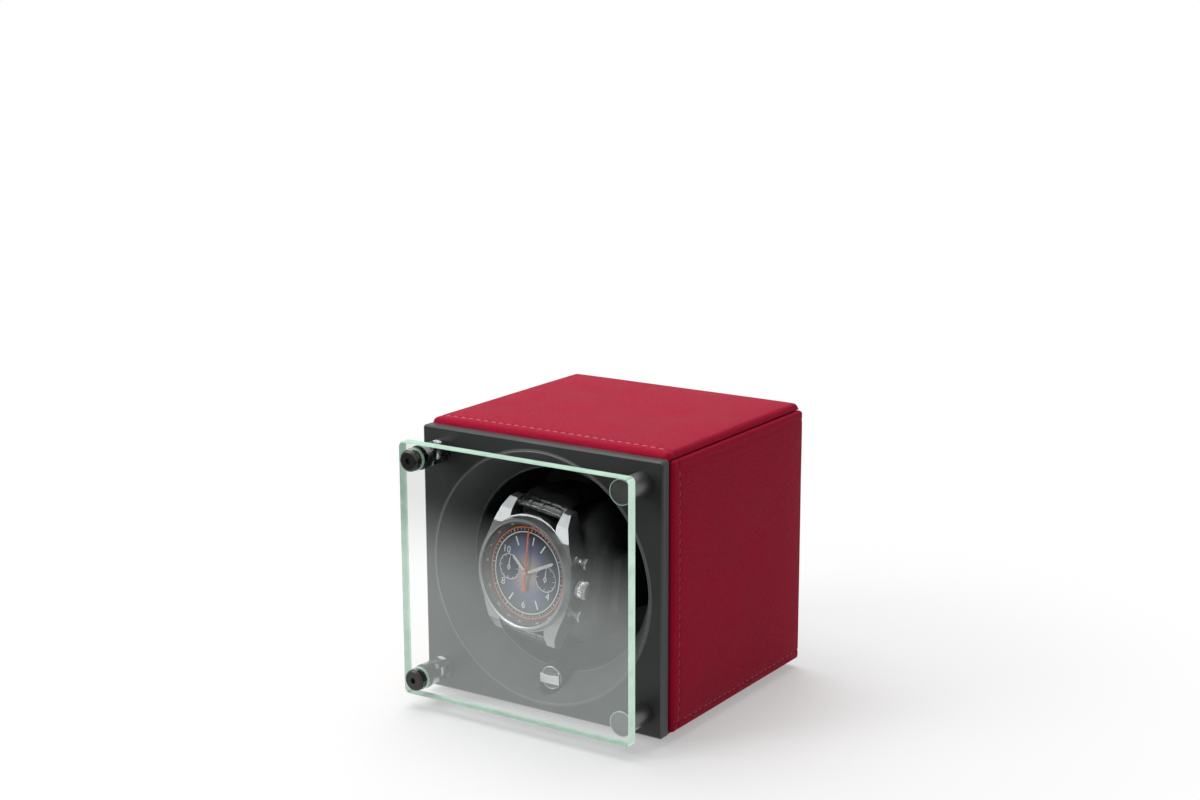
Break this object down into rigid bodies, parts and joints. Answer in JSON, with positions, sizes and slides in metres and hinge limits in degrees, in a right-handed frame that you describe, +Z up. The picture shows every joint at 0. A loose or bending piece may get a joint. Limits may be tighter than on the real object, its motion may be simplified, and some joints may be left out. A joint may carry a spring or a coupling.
{
  "type": "watch winder box",
  "caption": "Leather-clad watch winder cube with a hinged glass door on posts, a black bowl and a motor-driven cup that turns a watch on a cushion.",
  "frame": {"origin": "middle of the footprint on the surface that the feet stand on", "axes": "+X to the right, +Y from the glass door to the back, +Z up"},
  "size_m": [0.1024, 0.1142, 0.1005],
  "materials": {
    "red_leather": "fine grain",
    "black_plate": "matt",
    "black_plastic": "matt",
    "knob_black": "satin",
    "grip_bright": "polished",
    "clear_glass": "clear, green edges",
    "hinge_polished": "polished",
    "post_dark": "satin",
    "cap_black": "satin",
    "steel": "plain",
    "magnet": "nickel",
    "rubber": "matt",
    "bronze": "sintered",
    "motor_steel": "zinc",
    "board_green": "solder mask",
    "cell_wrap": "plain wrap",
    "contact_nickel": "nickel",
    "inlet_black": "moulded",
    "gear_white": "moulded",
    "watch_steel": "polished",
    "watch_crystal": "clear",
    "dial_brown": "sunburst",
    "hand_silver": "polished",
    "hand_orange": "satin",
    "strap_black": "gloss, embossed",
    "cushion_black": "soft"
  },
  "bodies": {
    "case": {"core_shell": "black_plastic", "top_panel": "red_leather", "bottom_panel": "red_leather", "left_panel": "red_leather", "right_panel": "red_leather", "front_plate": "black_plate", "bowl_funnel": "black_plastic", "selector_housing": "black_plastic", "upper_hinge_base": "hinge_polished", "lower_hinge_base": "hinge_polished", "hinge_pins": "steel", "stop_posts": "post_dark", "stop_magnets": "magnet", "post_screws": "steel", "rubber_feet": "rubber", "bulkhead": "black_plastic", "shaft_bushes": "bronze", "gear_motor": "motor_steel", "motor_screws": "steel", "control_board": "board_green", "back_plate": "black_plastic", "back_screws": "steel", "battery_tray": "black_plastic", "battery_cells": "cell_wrap", "battery_contacts": "contact_nickel", "dc_inlet": "inlet_black"},
    "glass_door": {"glass_pane": "clear_glass", "upper_hinge_barrel": "hinge_polished", "lower_hinge_barrel": "hinge_polished", "hinge_rings": "hinge_polished", "glass_screws": "cap_black", "strike_discs": "post_dark"},
    "rotor": {"rotor_cup": "black_plastic", "rotor_shaft": "steel", "drive_gear": "gear_white", "shaft_clip": "steel", "watch_cradle": "black_plastic", "watch_cushion": "cushion_black", "watch_case": "watch_steel", "case_back": "watch_steel", "watch_bezel": "watch_steel", "watch_crystal": "watch_crystal", "watch_dial": "dial_brown", "spring_bars": "steel", "upper_strap": "strap_black", "lower_strap": "strap_black", "strap_clasp": "watch_steel"},
    "motor_pinion": {"pinion": "gear_white"},
    "selector": {"selector_knob": "knob_black", "selector_grip": "grip_bright"},
    "battery_lid": {"battery_cover": "black_plastic"},
    "hour_hand": {"hour_hand": "hand_silver"},
    "minute_hand": {"minute_hand": "hand_silver"},
    "sweep_hand": {"sweep_hand": "hand_orange"},
    "left_counter_hand": {"left_counter_hand": "hand_silver"},
    "right_counter_hand": {"right_counter_hand": "hand_silver"},
    "crown": {"crown": "watch_steel"},
    "upper_pusher": {"upper_pusher": "watch_steel"},
    "lower_pusher": {"lower_pusher": "watch_steel"}
  },
  "joints": [
    {"name": "door_hinge", "type": "hinge", "parent": "case", "child": "glass_door", "pos_m": [-0.0419, -0.04505, 0.051], "axis": [0, 0, -1], "range_deg": [0, 90]},
    {"name": "rotor_spin", "type": "hinge", "parent": "case", "child": "rotor", "pos_m": [0, 0.01355, 0.051], "axis": [0, 1, 0], "continuous": true},
    {"name": "pinion_spin", "type": "hinge", "parent": "case", "child": "motor_pinion", "pos_m": [-0.0149, 0.01355, 0.07471], "axis": [0, 1, 0], "continuous": true},
    {"name": "selector_turn", "type": "hinge", "parent": "case", "child": "selector", "pos_m": [0, -0.03195, 0.0127], "axis": [0, 1, 0], "range_deg": [-60, 60]},
    {"name": "battery_cover_pull", "type": "slide", "parent": "case", "child": "battery_lid", "axis": [0, 1, 0], "range_m": [0, 0.02]},
    {"name": "minute_spin", "type": "hinge", "parent": "rotor", "child": "minute_hand", "pos_m": [-0.0016, -0.04345, 0.05415], "axis": [0.0817, 0.9938, -0.075], "continuous": true},
    {"name": "hour_spin", "type": "hinge", "parent": "rotor", "child": "hour_hand", "pos_m": [-0.0016, -0.04345, 0.05415], "axis": [0.0817, 0.9938, -0.075], "continuous": true},
    {"name": "sweep_spin", "type": "hinge", "parent": "rotor", "child": "sweep_hand", "pos_m": [-0.0016, -0.04345, 0.05415], "axis": [0.0817, 0.9938, -0.075], "continuous": true},
    {"name": "left_counter_spin", "type": "hinge", "parent": "rotor", "child": "left_counter_hand", "pos_m": [-0.00973, -0.04272, 0.05495], "axis": [0.0817, 0.9938, -0.075], "continuous": true},
    {"name": "right_counter_spin", "type": "hinge", "parent": "rotor", "child": "right_counter_hand", "pos_m": [0.00653, -0.04418, 0.05335], "axis": [0.0817, 0.9938, -0.075], "continuous": true},
    {"name": "crown_turn", "type": "hinge", "parent": "rotor", "child": "crown", "pos_m": [0.01897, -0.04229, 0.05193], "axis": [0.9913, -0.0888, -0.0973], "continuous": true},
    {"name": "upper_pusher_press", "type": "slide", "parent": "rotor", "child": "upper_pusher", "axis": [-0.9913, 0.0888, 0.0973], "range_m": [0, 0.001], "stiffness_N_per_m": 600},
    {"name": "lower_pusher_press", "type": "slide", "parent": "rotor", "child": "lower_pusher", "axis": [-0.9913, 0.0888, 0.0973], "range_m": [0, 0.001], "stiffness_N_per_m": 600}
  ],
  "couplings": [
    {"joint": "pinion_spin", "follows": "rotor_spin", "ratio": -4},
    {"joint": "hour_spin", "follows": "minute_spin", "ratio": 0.083333}
  ]
}
